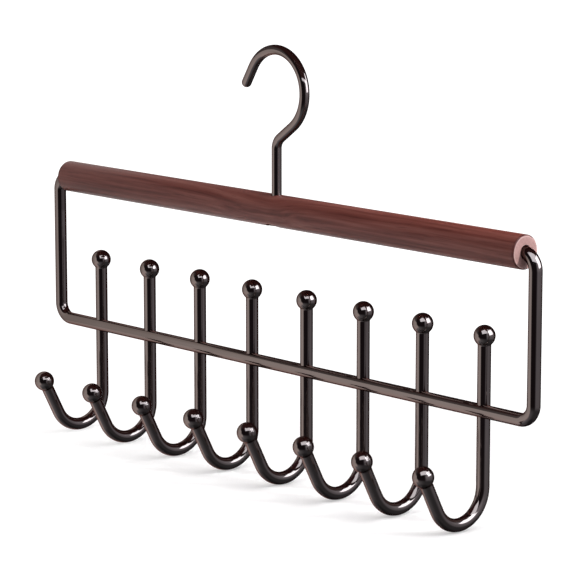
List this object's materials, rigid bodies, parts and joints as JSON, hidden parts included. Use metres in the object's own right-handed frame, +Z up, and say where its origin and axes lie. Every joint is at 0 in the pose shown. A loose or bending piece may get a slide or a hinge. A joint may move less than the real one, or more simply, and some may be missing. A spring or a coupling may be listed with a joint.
{
  "type": "belt rack",
  "caption": "Hanging belt rack: a wood dowel on a swivel hook carries a bent wire frame with a row of ball-ended J hooks for belts.",
  "frame": {"origin": "the rod seat: the middle of the inside of the swivel hook's crown, where a closet rod bears", "axes": "+X along the dowel and the frame's rail, +Y to the back of the rack, so the J hooks reach to -Y, +Z up along the swivel's axis"},
  "size_m": [0.3514, 0.05, 0.2114],
  "materials": {
    "stained_wood": "red-brown mahogany stain under satin lacquer, with paler bare end grain",
    "dark_bronze": "glossy dark bronze plating on steel wire"
  },
  "bodies": {
    "hook": {"swivel_hook": "dark_bronze"},
    "rack": {"wood_dowel": "stained_wood", "frame_wire": "dark_bronze", "belt_hook_1": "dark_bronze", "belt_hook_2": "dark_bronze", "belt_hook_3": "dark_bronze", "belt_hook_4": "dark_bronze", "belt_hook_5": "dark_bronze", "belt_hook_6": "dark_bronze", "belt_hook_7": "dark_bronze", "belt_hook_8": "dark_bronze", "top_ball_1": "dark_bronze", "top_ball_2": "dark_bronze", "top_ball_3": "dark_bronze", "top_ball_4": "dark_bronze", "top_ball_5": "dark_bronze", "top_ball_6": "dark_bronze", "top_ball_7": "dark_bronze", "top_ball_8": "dark_bronze", "tip_ball_1": "dark_bronze", "tip_ball_2": "dark_bronze", "tip_ball_3": "dark_bronze", "tip_ball_4": "dark_bronze", "tip_ball_5": "dark_bronze", "tip_ball_6": "dark_bronze", "tip_ball_7": "dark_bronze", "tip_ball_8": "dark_bronze", "thrust_washer": "dark_bronze"}
  },
  "joints": [
    {"name": "hook_swivel", "type": "hinge", "parent": "hook", "child": "rack", "pos_m": [0, 0, -0.07577], "axis": [0, 0, 1], "continuous": true}
  ]
}
